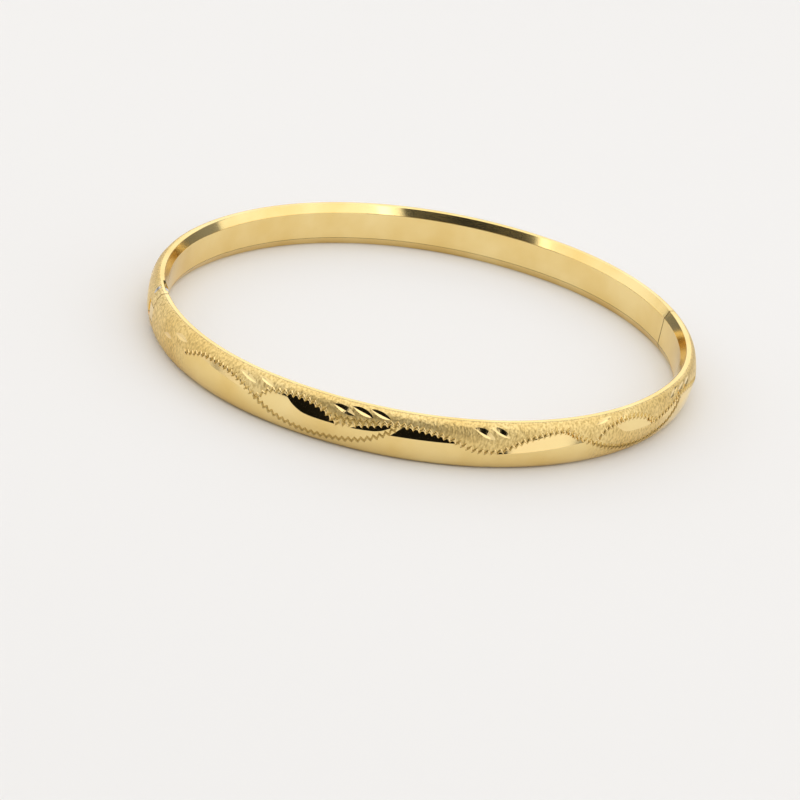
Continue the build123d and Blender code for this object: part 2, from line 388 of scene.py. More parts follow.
def wear_group() -> NodeTree:
    """Hairline scratches and a soft patchiness from handling."""
    group = Group("handling_wear", "Amount", ("Height", "Haze"))
    long_lines = group.noise((0.5, 0.5, 9.0), 900.0, 4.0)
    cross_lines = group.noise((3.0, 1.0, 1.6), 700.0, 5.0)
    patches = group.noise((1.0, 1.0, 1.0), 160.0, 3.0)
    most, rest = group.math("MULTIPLY", long_lines, 0.6), group.math("MULTIPLY", cross_lines, 0.4)
    lines = group.math("ADD", most, rest)
    group.put_out("Height", group.scaled(lines))
    group.put_out("Haze", group.scaled(patches))
    return group.tree


# ---- Finishes ----------------------------------------------------------------------------


class Paint:
    """A material being built round its Principled shader."""

    def __init__(self, name: str) -> None:
        """Makes the material and its Object coordinates."""
        self.material = bpy.data.materials.new(name)
        self.material.use_nodes = True
        self.tree = self.material.node_tree
        self.shader = self.tree.nodes["Principled BSDF"].inputs
        self.place = self.tree.nodes.new("ShaderNodeTexCoord").outputs["Object"]

    def join(self, value: Socket, target: Socket) -> None:
        """Joins an output socket to an input socket."""
        self.tree.links.new(value, target)

    def group(self, tree: NodeTree, strength: str, amount: float) -> bpy.types.bpy_prop_collection:
        """Places a shared node group.

        Args:
            tree: The group.
            strength: Name of its strength input.
            amount: What that input is set to.

        Returns:
            The group's outputs.
        """
        made = self.tree.nodes.new("ShaderNodeGroup")
        made.node_tree = tree
        made.inputs[strength].default_value = amount
        self.join(self.place, made.inputs["Vector"])
        return made.outputs

    def ranged(self, value: Socket, source: Range, target: Range = (0.0, 1.0)) -> Socket:
        """Maps a value from one range to another.

        Args:
            value: The socket that holds the value.
            source: The value's own range.
            target: The range it is mapped to.

        Returns:
            The socket that holds the mapped value.
        """
        made = self.tree.nodes.new("ShaderNodeMapRange")
        ends = zip(("From Min", "From Max", "To Min", "To Max"), (*source, *target))
        for label, end in ends:
            made.inputs[label].default_value = end
        self.join(value, made.inputs["Value"])
        return made.outputs["Result"]

    def product(self, first: Socket, second: Socket) -> Socket:
        """Multiplies two values."""
        made = self.tree.nodes.new("ShaderNodeMath")
        made.operation = "MULTIPLY"
        self.join(first, made.inputs[0])
        self.join(second, made.inputs[1])
        return made.outputs[0]

    def rest_of(self, share: Socket) -> Socket:
        """What is left of one after a share is taken."""
        made = self.tree.nodes.new("ShaderNodeMath")
        made.operation = "SUBTRACT"
        made.inputs[0].default_value = 1.0
        self.join(share, made.inputs[1])
        return made.outputs[0]

    def tint(self, share: Socket, second: Colour, first: object) -> Socket:
        """Mixes two colours.

        Args:
            share: How much of the second colour shows.
            second: The second colour.
            first: The first colour, a plain one or the socket that holds it.

        Returns:
            The socket that holds the mixed colour.
        """
        made = self.tree.nodes.new("ShaderNodeMix")
        made.data_type = "RGBA"
        if isinstance(first, Socket):
            self.join(first, made.inputs["A"])
        else:
            made.inputs["A"].default_value = (*first, 1.0)
        made.inputs["B"].default_value = (*second, 1.0)
        self.join(share, made.inputs["Factor"])
        return made.outputs["Result"]

    def relief(self, height: Socket, distance: float, strength: float) -> bpy.types.Node:
        """Adds a bump of a height, and gives its node."""
        made = self.tree.nodes.new("ShaderNodeBump")
        made.inputs["Distance"].default_value = distance
        made.inputs["Strength"].default_value = strength
        self.join(height, made.inputs["Height"])
        return made


@dataclass(frozen=True)
class Finish:
    """A metal finish: its colour between two tones, its gloss and its surface texture."""

    name: str
    tone: Colour
    deep_tone: Colour
    roughness: Range
    wear: float
    hatching: float = 0.0
    polish_attribute: str = ""
    # darker tone laid into the nicks of the satin hatching: painted shade
    recess_tone: Colour = (0.55, 0.38, 0.13)
    satin_roughness: float = 0.42
    scratch_depth: float = 0.000004
    hatching_depth: float = 0.00010

    def build(self, groups: dict[str, NodeTree]) -> Material:
        """Makes the material.

        Args:
            groups: The shared node groups, by name.

        Returns:
            The material, with its shader and textures joined up.
        """
        paint = Paint(self.name)
        paint.shader["Metallic"].default_value = 1.0
        wear = paint.group(groups["wear"], "Amount", self.wear)
        haze = (0.35 * self.wear, 0.65 * self.wear)
        roughness = paint.ranged(wear["Haze"], haze, self.roughness)
        patch = paint.ranged(wear["Haze"], (0.3 * self.wear, 0.7 * self.wear))
        colour = paint.tint(patch, self.deep_tone, self.tone)
        normal = paint.relief(wear["Height"], self.scratch_depth, 0.25).outputs["Normal"]
        if self.hatching:
            colour, roughness, normal = self.engrave(paint, groups["florentine"], colour, roughness, normal)
        paint.join(roughness, paint.shader["Roughness"])
        paint.join(normal, paint.shader["Normal"])
        paint.join(colour, paint.shader["Base Color"])
        return paint.material

    def engrave(
        self, paint: Paint, florentine: NodeTree, colour: Socket,
        roughness: Socket, normal: Socket,
    ) -> tuple[Socket, Socket, Socket]:
        """Lays satin hatching over the polished metal wherever the polish attribute is low, with painted
        shade that darkens its nicks.

        Args:
            paint: The material being built.
            florentine: The group that makes the hatching.
            colour: The polished metal's colour.
            roughness: Its roughness.
            normal: Its surface, with its scratches.

        Returns:
            The colour, roughness and surface with the hatching laid over them.
        """
        hatch = paint.group(florentine, "Fineness", self.hatching)
        polish = paint.tree.nodes.new("ShaderNodeAttribute")
        polish.attribute_name = self.polish_attribute
        matt = paint.rest_of(polish.outputs["Fac"])
        satin = paint.relief(paint.product(hatch["Height"], matt), self.hatching_depth, 1.0)
        paint.join(normal, satin.inputs["Normal"])
        # painted shade: the satin's nicks are tinted towards the darker nick tone
        painted_nick_shade = paint.product(paint.ranged(hatch["Fleck"], (0.38, 0.76)), matt)
        gloss = paint.tree.nodes.new("ShaderNodeMix")
        gloss.data_type = "FLOAT"
        gloss.inputs["B"].default_value = self.satin_roughness
        paint.join(matt, gloss.inputs["Factor"])
        paint.join(roughness, gloss.inputs["A"])
        return paint.tint(painted_nick_shade, self.recess_tone, colour), gloss.outputs["Result"], satin.outputs["Normal"]


GOLD = (0.96, 0.76, 0.36)
DEEP_GOLD = (0.86, 0.62, 0.23)


@dataclass(frozen=True)
class Wardrobe:
    """Every finish on the bangle, built once."""

    ground: Material
    bright_cut: Material
    wriggle: Material
    lining: Material
    filed: Material
    steel: Material

    @classmethod
    def build(cls) -> "Wardrobe":
        """Makes the node groups and the finishes that use them."""
        groups = {"florentine": florentine_group(), "wear": wear_group()}
        ground = Finish("engraved_gold", GOLD, DEEP_GOLD, (0.09, 0.15), 1.0, 1.0, "polish")
        bright = Finish("bright_cut_gold", GOLD, (0.90, 0.66, 0.30), (0.05, 0.09), 0.5)
        # darker gold of the wriggle strokes: painted shade
        wriggle = Finish("wriggle_cut_gold", (0.62, 0.44, 0.15), (0.44, 0.29, 0.08), (0.16, 0.26), 1.0)
        lining = Finish("polished_gold", GOLD, DEEP_GOLD, (0.07, 0.13), 1.0)
        filed = Finish("filed_gold", (0.84, 0.62, 0.30), (0.72, 0.50, 0.22), (0.28, 0.42), 1.0)
        steel = Finish("spring_steel", (0.62, 0.60, 0.56), (0.42, 0.40, 0.37), (0.22, 0.36), 1.0)
        return cls(*(finish.build(groups) for finish in (ground, bright, wriggle, lining, filed, steel)))


# ---- The engraver's design ---------------------------------------------------------------


@dataclass(frozen=True)
class Line:
    """A line engraved along the band, as given (along, height) points in millimetres."""

    points: tuple[tuple[float, float], ...]

    @property
    def start(self) -> float:
        """Where the line starts, along the band."""
        return self.points[0][0]

    @property
    def end(self) -> float:
        """Where the line ends, along the band."""
        return self.points[-1][0]

    def height(self, along: float) -> float:
        """Follows a smooth curve through the line's points.

        Args:
            along: Length along the band. Past either end, the line stays level.

        Returns:
            The line's height there.
        """
        along = min(max(along, self.start), self.end)
        index = 0
        while index < len(self.points) - 2 and along > self.points[index + 1][0]:
            index += 1
        (x0, y0), (x1, y1) = self.points[index], self.points[index + 1]
        before = self.points[max(index - 1, 0)]
        after = self.points[min(index + 2, len(self.points) - 1)]
        span = x1 - x0
        slope0 = (y1 - before[1]) / (x1 - before[0]) * span
        slope1 = (after[1] - y0) / (after[0] - x0) * span
        t = (along - x0) / span
        curve = (2 * t**3 - 3 * t**2 + 1) * y0 + (t**3 - 2 * t**2 + t) * slope0
        curve += (3 * t**2 - 2 * t**3) * y1 + (t**3 - t**2) * slope1
        return curve


@dataclass(frozen=True)
class Leaf:
    """A lens-shaped V cut: two strokes of the graver that meet along a keel. Angles are in degrees."""

    along: float
    height: float
    length: float
    width: float
    lean: float
    high_flank: float = 6.0
    low_flank: float = 14.0


@dataclass(frozen=True)
class Scoop:
    """A bright facet: a flat scoop of the dome between a wave above and a ridge below."""

    ridge: Line
    wave: Line
    tilt: float = 17.0
    clearance: float = 0.10
    taper: float = 0.0

    def top(self, along: float) -> float:
        """Finds the facet's upper edge, which rises from the ridge where the facet starts in a point.

        Args:
            along: Length along the band.

        Returns:
            The edge's height there.
        """
        foot = self.ridge.height(along)
        full = max(foot + 0.02, self.wave.height(along) - self.clearance)
        if self.taper == 0.0:
            return full
        return foot + (full - foot) * max(0.02, min(1.0, (along - self.ridge.start) / self.taper))

    def lift(self, section: Section, along: float, height: float) -> float:
        """Lift of the facet's surface, which meets the dome at the ridge."""
        foot = self.ridge.height(along)
        return section.dome(foot) - math.tan(math.radians(self.tilt)) * (height - foot)

    def normal(self, section: Section, flat: Vector) -> Vector:
        """Finds which way the facet faces.

        Args:
            section: The band's section.
            flat: A point of the facet, on the flat bar.

        Returns:
            The outward direction there.
        """
        step = 0.05
        rise = self.lift(section, flat.x + step, flat.y) - self.lift(section, flat.x - step, flat.y)
        return Vector((-rise / (2 * step), math.tan(math.radians(self.tilt)), 1.0)).normalized()


UPPER_WAVE = Line((
    (9.3, 0.45), (10.4, 0.85), (11.8, 1.4), (13.8, 1.6), (16.0, 1.45), (17.8, 0.95), (19.2, 0.3),
    (20.0, 0.35), (21.2, 1.35), (24.6, 1.85), (27.2, 1.3), (28.7, 0.35), (29.7, 0.45), (32.3, 1.0),
    (34.6, 1.5), (38.0, 1.3), (40.6, 0.75), (42.8, -0.1), (44.5, -0.35), (46.2, -0.1), (48.4, 0.95),
    (51.0, 1.55), (53.2, 1.7), (55.0, 0.8), (56.8, 0.0),
))
LOWER_WAVE = Line((
    (19.5, 0.15), (21.4, -0.75), (23.4, -1.35), (26.0, -1.65), (29.0, -1.45), (31.6, -0.85),
    (33.7, 0.25), (34.4, 0.8), (34.9, 1.4),
))
RIGHT_WAVE = Line((
    (56.8, 0.0), (58.8, -0.75), (61.2, -1.35), (63.8, -1.65), (66.8, -1.45), (69.4, -0.85),
    (71.2, 0.2), (72.5, 1.35),
))
FAR_WAVE = Line((
    (57.4, 0.35), (58.8, 1.35), (62.0, 1.85), (65.0, 1.3), (66.5, 0.35), (67.5, 0.45), (70.1, 1.0),
    (72.4, 1.5), (75.8, 1.3), (78.4, 0.75), (81.0, 0.25), (82.9, 0.5),
))
SCOOPS = (
    Scoop(Line(((11.2, 1.15), (15.0, 0.75), (19.0, 0.25))), UPPER_WAVE),
    Scoop(Line(((23.2, 1.35), (24.0, 0.75), (25.3, 0.25), (28.8, 0.12))), UPPER_WAVE),
    Scoop(Line(((30.2, 0.15), (32.0, 0.28), (33.2, 0.5), (34.2, 1.0))), UPPER_WAVE, taper=0.8),
    Scoop(Line(((34.3, 0.25), (38.0, 0.32), (41.4, 0.38))), UPPER_WAVE, taper=1.2),
    Scoop(Line(((45.6, -0.55), (50.0, -0.25), (55.8, 0.3))), UPPER_WAVE),
    Scoop(Line(((60.0, 1.25), (61.6, 0.4), (66.6, 0.12))), FAR_WAVE),
    Scoop(Line(((68.0, 0.15), (69.8, 0.28), (71.0, 0.5), (72.0, 1.0))), FAR_WAVE, taper=0.8),
    Scoop(Line(((72.1, 0.25), (76.0, 0.3), (79.6, 0.35))), FAR_WAVE, taper=1.2),
)
LEAVES = (
    Leaf(5.4, 0.35, 1.8, 0.42, 6.0), Leaf(8.0, 1.4, 2.4, 0.55, 2.0),
    Leaf(18.4, 1.75, 2.4, 0.55, -14.0), Leaf(20.6, 2.0, 2.1, 0.5, -14.0),
    Leaf(29.3, 1.78, 2.5, 0.74, -14.0),
    Leaf(31.2, 1.98, 2.4, 0.70, -14.0),
    Leaf(33.0, 2.1, 2.3, 0.66, -14.0),
    Leaf(43.9, 1.55, 2.5, 0.70, -24.0, 1.5), Leaf(45.6, 1.72, 2.3, 0.64, -24.0, 1.5),
    Leaf(58.2, 2.15, 2.3, 0.5, 12.0), Leaf(60.6, 1.85, 2.3, 0.55, 16.0),
    Leaf(71.0, 2.1, 2.3, 0.58, 14.0), Leaf(72.9, 1.98, 2.4, 0.62, 14.0), Leaf(74.8, 1.9, 2.5, 0.66, 14.0),
    Leaf(84.9, 1.4, 2.4, 0.55, -2.0), Leaf(87.4, 0.35, 1.8, 0.42, -6.0),
)


SHORT_WAVE = Line(((28.6, 0.95), (30.6, 1.0), (33.0, 1.3)))
WAVES = (UPPER_WAVE, LOWER_WAVE, RIGHT_WAVE, FAR_WAVE, SHORT_WAVE)


# ---- Mesh helpers ------------------------------------------------------------------------


def finish_mesh(name: str, bm: Mesh, materials: Sequence[Material]) -> Object:
    """Turns a finished bmesh into an object at the origin.

    Args:
        name: Name of the object and its mesh.
        bm: The bmesh, which is freed.
        materials: The materials, in the order of the faces' material numbers.

    Returns:
        The object, linked into the scene.
    """
    mesh = bpy.data.meshes.new(name)
    bm.to_mesh(mesh)
    bm.free()
    for material in materials:
        mesh.materials.append(material)
    made = bpy.data.objects.new(name, mesh)
    bpy.context.scene.collection.objects.link(made)
    return made


def sweep_bar(bm: Mesh, outline: Profile, start: float, end: float, steps: int) -> Verts:
    """Sweeps a closed outline along X into a capped bar.

    Args:
        bm: The mesh that the bar is added to.
        outline: The section, as (height, lift) points.
        start: Where the bar starts along X.
        end: Where it ends.
        steps: How many lengths it is divided into.

    Returns:
        The vertices of the bar.
    """
    before = set(bm.verts)
    verts = [bm.verts.new((start, height, lift)) for height, lift in outline]
    edges = [bm.edges.new((verts[i - 1], verts[i])) for i in range(len(verts))]
    step = Vector(((end - start) / steps, 0, 0))
    swept = bmesh.ops.spin(
        bm, geom=verts + edges, cent=(0, 0, 0), axis=(0, 0, 1), dvec=step, angle=0.0,
        steps=steps, use_merge=False, use_normal_flip=False, use_duplicate=False,
    )
    last = [item for item in swept["geom_last"] if isinstance(item, bmesh.types.BMEdge)]
    bmesh.ops.contextual_create(bm, geom=edges)
    bmesh.ops.contextual_create(bm, geom=last)
    return [vert for vert in bm.verts if vert not in before]


def set_cut(bm: Mesh, verts: Verts, kind: Cut) -> None:
    """Turns the faces of one closed cutter outwards and marks what they leave behind.

    Args:
        bm: The mesh that holds the cutter.
        verts: The cutter's vertices.
        kind: What the cutter leaves on the shell.
    """
    faces = list({face for vert in verts for face in vert.link_faces})
    for face in faces:
        face.material_index = kind.value
    bmesh.ops.recalc_face_normals(bm, faces=faces)
    centre = sum((vert.co for vert in verts), Vector()) / len(verts)
    swelling = sum(face.calc_area() * face.normal.dot(face.calc_center_median() - centre) for face in faces)
    if swelling < 0.0:
        bmesh.ops.reverse_faces(bm, faces=faces)


@dataclass(frozen=True)
class Bench:
    """The flat bar's section and the oval it is bent round, with the tools to work it."""

    oval: Oval
    section: Section
    leaf_steps: int = 14
    blunt_tip: float = 0.03
    overshoot: float = 0.05
    clear_of_dome: float = 0.2
    facet_step: float = 0.3
    facet_skirt: float = 0.5
    facet_clearance: float = 0.6

    def drape(self, along: float, height: float, lift: float) -> Vector:
        """A point of the flat bar, lifted from the dome's own surface."""
        return Vector((along, height, self.section.dome(height) + lift))

    def on_dome(self, along: float, height: float, across: float, lift: float) -> Vector:
        """Sets a point off from the dome.

        Args:
            along: Length along the band.
            height: Height from mid band, where the dome is touched.
            across: Distance from there over the dome's tangent plane.
            lift: Distance out along the dome's normal.

        Returns:
            The point, on the flat bar.
        """
        foot = self.drape(along, height, 0.0)
        normal = self.section.normal(foot)
        return foot + Vector((0, normal.z, -normal.y)) * across + normal * lift

    def leaf_cutter(self, bm: Mesh, leaf: Leaf) -> None:
        """Adds the cutter of one leaf: a keeled bar whose belly swells in the middle.

        Args:
            bm: The mesh that the cutter is added to.
            leaf: The leaf.
        """
        cos_lean, sin_lean = math.cos(math.radians(leaf.lean)), math.sin(math.radians(leaf.lean))
        outline = [(0.0, -1.0), (-1.0, 0.0), (-1.0, 1.0), (1.0, 1.0), (1.0, 0.0)]
        verts = sweep_bar(bm, outline, -1.0, 1.0, self.leaf_steps)
        low, high = math.tan(math.radians(leaf.low_flank)), math.tan(math.radians(leaf.high_flank))
        slopes = {-1: low, 0: 0.0, 1: high}
        radius = self.section.crown_radius
        for vert in verts:
            share, corner, level = vert.co
            belly = leaf.width / 2.0 * max(self.blunt_tip, 1.0 - share * share)
            slope = slopes[round(corner)]
            depth = (low + high) / 2.0 * belly + belly * belly / (2.0 * radius)
            # the flank leaves the metal where the dome has dropped to it, and goes on a little
            reach = radius * (math.sqrt(slope * slope + 2.0 / radius * depth) - slope) + self.overshoot
            lift = (-depth, slope * reach - depth, self.clear_of_dome)[round(level) + 1]
            run = share * leaf.length / 2.0
            place = (leaf.along + run * cos_lean, leaf.height + run * sin_lean)
            vert.co = self.on_dome(*place, corner * reach, lift)
        set_cut(bm, verts, Cut.LEAF)

    def scoop_cutter(self, bm: Mesh, scoop: Scoop) -> None:
        """Adds the cutter of one bright facet: a bar that follows the ridge and the wave.

        Args:
            bm: The mesh that the cutter is added to.
            scoop: The facet.
        """
        start, end = scoop.ridge.start, scoop.ridge.end
        steps = max(8, round((end - start) / self.facet_step))
        outline = [(0.0, 0.0), (1.0, 0.0), (2.0, 0.0), (2.0, 1.0), (0.0, 1.0)]
        verts = sweep_bar(bm, outline, start, end, steps)
        for vert in verts:
            along, row, outside = vert.co
            foot = scoop.ridge.height(along)
            height = (foot - self.facet_skirt, foot, scoop.top(along))[round(row)]
            lift = self.facet_clearance if outside > 0.5 else scoop.lift(self.section, along, height)
            vert.co = Vector((along, height, lift))
        set_cut(bm, verts, Cut.SCOOP)

    def box_cutter(self, bm: Mesh, alongs: Range, half_width: float, lifts: Range) -> None:
        """Adds a plain rectangular cutter.

        Args:
            bm: The mesh that the cutter is added to.
            alongs: Where it starts and ends along the band.
            half_width: How far it reaches above and below mid band.
            lifts: Its lowest and highest lift from the crown.
        """
        corners = [(-half_width, lifts[0]), (half_width, lifts[0])]
        corners += [(half_width, lifts[1]), (-half_width, lifts[1])]
        set_cut(bm, sweep_bar(bm, corners, alongs[0], alongs[1], 2), Cut.EDGE)

    def bend_mesh(self, bm: Mesh, side: int) -> None:
        """Bends a flat mesh round the oval, faces outwards.

        Args:
            bm: The mesh.
            side: -1 for the front half, 1 for the back half.
        """
        for vert in bm.verts:
            vert.co = self.oval.bend(vert.co, side)
        if side > 0:
            bmesh.ops.reverse_faces(bm, faces=bm.faces[:])
        bm.normal_update()


def subtract(target: Object, cutter: Object) -> None:
    """Cuts one mesh out of another and keeps the result as the target's own mesh.

    Args:
        target: The object that is cut.
        cutter: The object that is taken away from it, and then removed.
    """
    modifier = target.modifiers.new("cut", "BOOLEAN")
    modifier.operation = "DIFFERENCE"
    modifier.solver = "EXACT"
    modifier.object = cutter
    bpy.context.view_layer.update()
    evaluated = target.evaluated_get(bpy.context.evaluated_depsgraph_get())
    cut = bpy.data.meshes.new_from_object(evaluated)
    target.modifiers.remove(modifier)
    old, target.data = target.data, cut
    bpy.data.meshes.remove(old)
    used = cutter.data
    bpy.data.objects.remove(cutter)
    bpy.data.meshes.remove(used)


# ---- Shells ------------------------------------------------------------------------------


@dataclass(frozen=True)
class HingeEnd:
    """Openings that the hinge and its spring need in the back half, in millimetres."""

    slot_half_width: float = 0.86
    slot_end: float = 2.47
    slot_depth: float = 1.30
    notch: Range = (0.80, 3.50)
    pin_along: float = 1.80
    pin_depth: float = 0.60
    pin_radius: float = 0.30
    pin_segments: int = 32
    beyond: float = 1.0
    through: float = 4.0
    wrist_side: float = -3.0

    def cutters(self, bench: Bench) -> list[Mesh]:
        """Makes the cutters of the tongue slot, the wrist-side notch and the pin bore.

        Args:
            bench: The bar that they cut.

        Returns:
            One mesh for each cutter.
        """
        slot, notch, bore = bmesh.new(), bmesh.new(), bmesh.new()
        lifts = (-self.slot_depth, self.beyond)
        bench.box_cutter(slot, (-self.beyond, self.slot_end), self.slot_half_width, lifts)
        bench.box_cutter(notch, self.notch, self.through, (self.wrist_side, -self.slot_depth))
        verts = bmesh.ops.create_cone(
            bore, cap_ends=True, cap_tris=False, segments=self.pin_segments, radius1=self.pin_radius,
            radius2=self.pin_radius, depth=2.0 * self.through,
        )["verts"]
        upright = Quaternion((1, 0, 0), math.pi / 2.0).to_matrix()
        bmesh.ops.rotate(bore, matrix=upright, cent=(0, 0, 0), verts=verts)
        bmesh.ops.translate(bore, vec=(self.pin_along, 0, -self.pin_depth), verts=verts)
        set_cut(bore, verts, Cut.EDGE)
        return [slot, notch, bore]


@dataclass(frozen=True)
class EngravedShell:
    """The domed outer sheet of one half, with its engraving, in millimetres."""

    half: Half
    bench: Bench
    column: float = 0.5
    dome_steps: int = 44
    inner_steps: int = 16
    tab_reach: float = 1.65
    tab_half_width: float = 0.95
    tab_depth: float = 0.85
    beyond: float = 1.0
    polished: Range = (7.0, 86.0)
    satin_gap: Range = (59.0, 67.0)
    fade: float = 3.0
    short_fade: float = 2.0
    polish_edge: float = 0.2
    sliver: float = 0.0005

    def polish(self, flat: Vector) -> float:
        """Says how polished the ground is.

        Args:
            flat: A point of the flat bar.

        Returns:
            1 below the wave and on the lips, 0 on the satin above, and between them where it fades.
        """
        if flat.z < -self.bench.section.rise * 0.92:
            return 1.0
        below = 0.0
        for wave in (UPPER_WAVE, FAR_WAVE):
            if wave.start - self.fade <= flat.x <= wave.end + self.fade:
                share = 0.5 + (wave.height(flat.x) - flat.y) / self.polish_edge
                below = max(below, min(1.0, max(0.0, share)))
        from_start, to_end = flat.x - self.polished[0], self.polished[1] - flat.x
        before_gap, after_gap = self.satin_gap[0] - flat.x, flat.x - self.satin_gap[1]
        outside_gap = max(before_gap / self.fade, after_gap / self.short_fade)
        return below * max(0.0, min(1.0, from_start / self.fade, to_end / self.fade, outside_gap))

    def cutters(self) -> list[Mesh]:
        """Makes the cutters of the leaves and facets, and on the back half of its openings too."""
        bench, length = self.bench, self.bench.oval.length
        leaves, scoops = bmesh.new(), bmesh.new()
        for leaf in LEAVES:
            bench.leaf_cutter(leaves, leaf)
        for scoop in SCOOPS:
            bench.scoop_cutter(scoops, scoop)
        if self.half is Half.FRONT:
            return [leaves, scoops]
        notch = bmesh.new()
        alongs = (length - self.tab_reach, length + self.beyond)
        bench.box_cutter(notch, alongs, self.tab_half_width, (-self.tab_depth, self.beyond))
        return [leaves, scoops, *HingeEnd().cutters(bench), notch]

    def build(self, wardrobe: Wardrobe) -> Object:
        """Sweeps the sheet, cuts its engraving and openings, and bends it round.

        Args:
            wardrobe: The finishes.

        Returns:
            The finished shell.
        """
        section, length = self.bench.section, self.bench.oval.length
        outline = section.outline(0.0, self.dome_steps)
        outline += section.outline(section.skin, self.inner_steps)[::-1]
        bm = bmesh.new()
        sweep_bar(bm, outline, HALF_SEAM, length - HALF_SEAM, round(length / self.column))
        bmesh.ops.recalc_face_normals(bm, faces=bm.faces[:])
        materials = (wardrobe.ground, wardrobe.bright_cut, wardrobe.bright_cut, wardrobe.lining)
        shell = finish_mesh(f"{self.half.value}_engraved_shell", bm, materials)
        for index, cutter in enumerate(self.cutters()):
            subtract(shell, finish_mesh(f"cutter_{index}", cutter, materials))
        self.dress(shell)
        return shell

    def dress(self, shell: Object) -> None:
        """Bends the flat shell round the oval and gives it its true normals and its polish.

        Args:
            shell: The engraved shell, still flat.
        """
        bm = bmesh.new()
        bm.from_mesh(shell.data)
        bmesh.ops.dissolve_degenerate(bm, dist=self.sliver, edges=bm.edges[:])
        bmesh.ops.triangulate(bm, faces=bm.faces[:])
        polish = bm.verts.layers.float.new("polish")
        flats = []
        for vert in bm.verts:
            vert[polish] = self.polish(vert.co)
            flats.append(vert.co.copy())
        for edge in bm.edges:
            faces = edge.link_faces
            differ = len(faces) == 2 and faces[0].material_index != faces[1].material_index
            edge.smooth = not (differ or edge.calc_face_angle(0.0) > math.radians(SHARP))
        self.bench.bend_mesh(bm, self.half.side)
        bm.verts.index_update()
        normals = []
        for face in bm.faces:
            face.smooth = True
            for loop in face.loops:
                normals.append(tuple(self.true_normal(face, flats[loop.vert.index])))
        bm.to_mesh(shell.data)
        bm.free()
        shell.data.normals_split_custom_set(normals)

    def true_normal(self, face: bmesh.types.BMFace, flat: Vector) -> Vector:
        """Finds which way the surface that a face belongs to faces at one of its corners.

        Args:
            face: A face of the bent shell.
            flat: The corner's place on the flat bar.

        Returns:
            The direction of the dome or facet, or the face's own where it is a small flat cut.
        """
        section, direction = self.bench.section, None
        if face.material_index == Cut.GROUND.value:
            direction = section.normal(flat)
        elif face.material_index == Cut.SCOOP.value:
            for scoop in SCOOPS:
                if scoop.ridge.start - 0.01 <= flat.x <= scoop.ridge.end + 0.01:
                    direction = scoop.normal(section, flat)
        if direction is None:
            return face.normal
        direction = self.bench.oval.bend_direction(flat, direction, self.half.side)
        return direction if direction.dot(face.normal) > CLOSE_TO_FACE else face.normal


@dataclass(frozen=True)
class WriggleCuts:
    """The zigzag of short graver strokes that edges each wave, most of them coloured darker as painted shade.
    """

    half: Half
    bench: Bench
    pitch: float = 0.33
    stroke: float = 0.84
    width: float = 0.25
    height: float = 0.085
    splay: float = 33.0
    follow: float = 0.6

    def add_stroke(self, bm: Mesh, along: float, height: float, turn: float, tone: int) -> None:
        """Adds one stroke: a slim burr, half sunk in the dome and draped over it.

        Args:
            bm: The mesh that the stroke is added to.
            along: The stroke's place along the band.
            height: Its height from mid band.
            turn: Its direction, in radians from the band's own.
            tone: Its material number: 0 for the darker gold of painted shade, 1 for the bright cut.
        """
        verts = bmesh.ops.create_uvsphere(bm, u_segments=6, v_segments=4, radius=1.0)["verts"]
        cos_turn, sin_turn = math.cos(turn), math.sin(turn)
        for vert in verts:
            across, run = vert.co.x * self.width / 2.0, vert.co.z * self.stroke / 2.0
            place = (along + run * cos_turn - across * sin_turn, height + run * sin_turn + across * cos_turn)
            vert.co = self.bench.drape(*place, vert.co.y * self.height)
            for face in vert.link_faces:
                face.material_index = tone

    def build(self, wardrobe: Wardrobe) -> Object:
        """Lays the strokes along every wave and bends them round.

        Args:
            wardrobe: The finishes.

        Returns:
            The finished strokes, as one piece.
        """
        bm = bmesh.new()
        for wave in WAVES:
            along, leaning = wave.start, 1
            while along < wave.end:
                rise = wave.height(along + 0.05) - wave.height(along - 0.05)
                slope = math.atan2(rise, 0.1)
                turn = math.pi / 2.0 + slope * self.follow + leaning * math.radians(self.splay)
                # strokes leaning one way on the upper waves take the bright cut; the rest take the darker
                # gold of painted shade
                tone = 1 if leaning > 0 and wave in (UPPER_WAVE, FAR_WAVE) else 0
                self.add_stroke(bm, along, wave.height(along), turn, tone)
                along += self.pitch * math.cos(slope)
                leaning = -leaning
        self.bench.bend_mesh(bm, self.half.side)
        bmesh.ops.recalc_face_normals(bm, faces=bm.faces[:])
        for face in bm.faces:
            face.smooth = True
        return finish_mesh(f"{self.half.value}_wriggle_cuts", bm, (wardrobe.wriggle, wardrobe.bright_cut))


